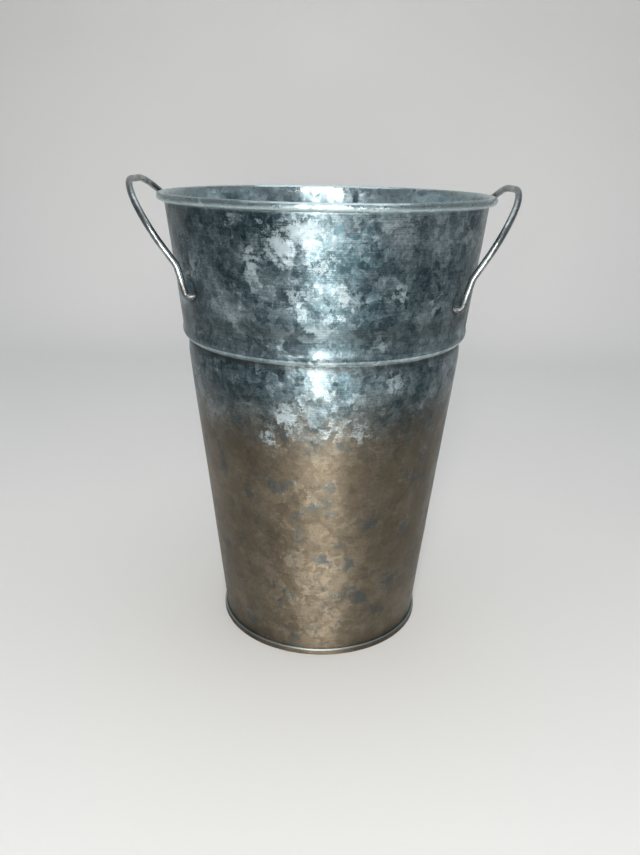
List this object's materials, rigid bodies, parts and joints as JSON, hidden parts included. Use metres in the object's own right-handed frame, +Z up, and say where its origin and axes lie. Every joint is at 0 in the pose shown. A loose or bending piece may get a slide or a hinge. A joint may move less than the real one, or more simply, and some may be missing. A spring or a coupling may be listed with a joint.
{
  "type": "florist bucket",
  "caption": "Tall tapered galvanised flower bucket with a rolled rim, swaged shoulder and hooked wire side handles that swing a little in their holes.",
  "frame": {"origin": "on the bucket's axis, at the plane that the foot seam stands on", "axes": "+Z up along the axis to the rim; the handles stand on the -X and +X sides and the lock seam is at +Y"},
  "size_m": [0.1864, 0.1636, 0.2354],
  "materials": {
    "galvanised_sheet": "spangled galvanised, semi-gloss",
    "galvanised_wire": "smooth galvanised",
    "steel_wire": "plain drawn wire",
    "seam_sealant": "matt"
  },
  "bodies": {
    "bucket": {"side_wall": "galvanised_sheet", "base_pan": "galvanised_sheet", "rim_wire": "steel_wire", "base_seam_sealant": "seam_sealant", "side_seam_sealant": "seam_sealant"},
    "left_handle": {"left_handle": "galvanised_wire"},
    "right_handle": {"right_handle": "galvanised_wire"}
  },
  "joints": [
    {"name": "left_handle_swing", "type": "hinge", "parent": "bucket", "child": "left_handle", "pos_m": [-0.06082, 0, 0.184], "axis": [0, 1, 0], "range_deg": [0, 8]},
    {"name": "right_handle_swing", "type": "hinge", "parent": "bucket", "child": "right_handle", "pos_m": [0.0603, 0, 0.1802], "axis": [0, -1, 0], "range_deg": [0, 8]}
  ]
}
